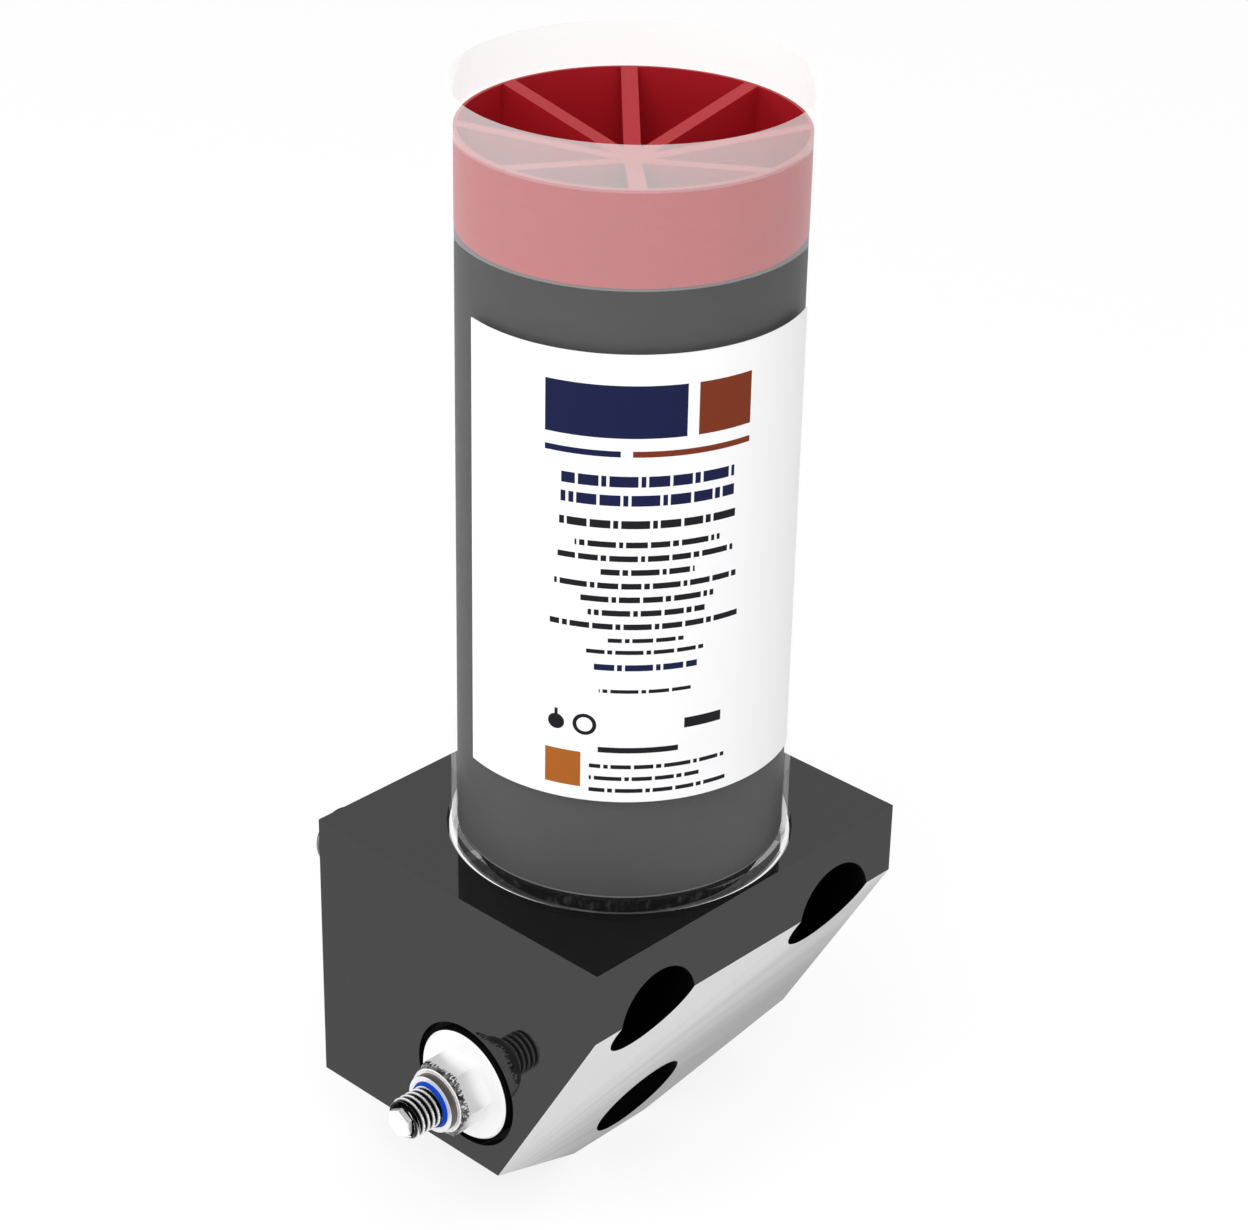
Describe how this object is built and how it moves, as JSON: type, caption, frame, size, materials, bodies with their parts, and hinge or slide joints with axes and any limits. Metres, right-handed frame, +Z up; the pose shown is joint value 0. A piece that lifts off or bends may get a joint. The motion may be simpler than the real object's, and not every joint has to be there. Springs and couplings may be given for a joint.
{
  "type": "automatic lubricator",
  "caption": "Bolt-on hydraulically driven grease lubricator: steel pump block with stroke setting screw, and a clear screw-in grease cartridge with a ribbed follower piston.",
  "frame": {"origin": "foot of the mounting face, on the middle plane, at the height of the block's foot", "axes": "+X out of the machine through the block to its sloped front, +Z up along the cartridge, +Y towards the end plug"},
  "size_m": [0.085, 0.0959, 0.2172],
  "materials": {
    "block_steel": "glossy blackened steel, bare machined front slope",
    "plug_steel": "black oxide",
    "bright_steel": "bright zinc plate",
    "spring_steel": "plain drawn wire",
    "bronze": "turned",
    "copper": "soft",
    "black_rubber": "moulded",
    "blue_rubber": "moulded",
    "white_nylon": "turned",
    "clear_plastic": "clear moulded plastic",
    "label_film": "printed film",
    "grease": "smooth dark grease",
    "red_plastic": "moulded"
  },
  "bodies": {
    "block": {"body_block": "block_steel", "mounting_bolts": "bright_steel", "oil_port_seal": "black_rubber", "grease_port_seal": "black_rubber", "seat_ring": "white_nylon", "pump_cap": "bright_steel", "cap_seal": "black_rubber", "pump_sleeve": "bronze", "valve_seat": "bright_steel", "end_plug": "plug_steel", "end_plug_seal": "copper", "return_spring": "spring_steel", "check_spring": "spring_steel"},
    "cartridge_gasket": {"neck_seal": "black_rubber"},
    "cartridge": {"cartridge_tube": "clear_plastic", "cartridge_label": "label_film", "grease_fill": "grease"},
    "follower": {"follower_piston": "red_plastic"},
    "stroke_stop": {"stop_pin": "bright_steel", "stop_pin_seal": "black_rubber"},
    "setting_screw": {"adjusting_screw": "bright_steel"},
    "nut_seal": {"lock_nut_seal": "blue_rubber"},
    "sealing_nut": {"lock_nut": "bright_steel"},
    "drive": {"drive_piston": "bright_steel", "drive_piston_seal": "black_rubber", "pump_plunger": "bright_steel"},
    "outlet_ball": {"check_ball": "bright_steel"}
  },
  "joints": [
    {"name": "cartridge_lift", "type": "slide", "parent": "block", "child": "cartridge_gasket", "axis": [0, 0, 1], "range_m": [0, 0.02]},
    {"name": "cartridge_turn", "type": "hinge", "parent": "cartridge_gasket", "child": "cartridge", "pos_m": [0.039, 0, 0.073], "axis": [0, 0, 1], "range_deg": [0, 3600]},
    {"name": "follower_travel", "type": "slide", "parent": "cartridge", "child": "follower", "axis": [0, 0, -1], "range_m": [0, 0.115], "deforming": ["grease_fill"]},
    {"name": "stop_travel", "type": "slide", "parent": "block", "child": "stroke_stop", "axis": [0, -1, 0], "range_m": [0, 0.004]},
    {"name": "setting_turn", "type": "hinge", "parent": "stroke_stop", "child": "setting_screw", "pos_m": [0.039, -0.05, 0.033], "axis": [0, -1, 0], "range_deg": [0, 1152]},
    {"name": "nut_travel", "type": "slide", "parent": "block", "child": "nut_seal", "axis": [0, -1, 0], "range_m": [0, 0.005]},
    {"name": "nut_turn", "type": "hinge", "parent": "nut_seal", "child": "sealing_nut", "pos_m": [0.039, -0.045, 0.033], "axis": [0, -1, 0], "range_deg": [0, 1440]},
    {"name": "pump_stroke", "type": "slide", "parent": "block", "child": "drive", "axis": [0, 1, 0], "range_m": [0, 0.007], "stiffness_N_per_m": 3000, "springref_m": -0.004, "deforming": ["return_spring"]},
    {"name": "ball_lift", "type": "slide", "parent": "block", "child": "outlet_ball", "axis": [0, 1, 0], "range_m": [0, 0.0015], "stiffness_N_per_m": 200, "springref_m": -0.001, "deforming": ["check_spring"]}
  ],
  "couplings": [
    {"joint": "cartridge_lift", "follows": "cartridge_turn", "m_per_rad": 0.00031831},
    {"joint": "setting_turn", "follows": "stop_travel", "rad_per_m": 5026.5},
    {"joint": "nut_turn", "follows": "nut_travel", "rad_per_m": 5026.5}
  ]
}
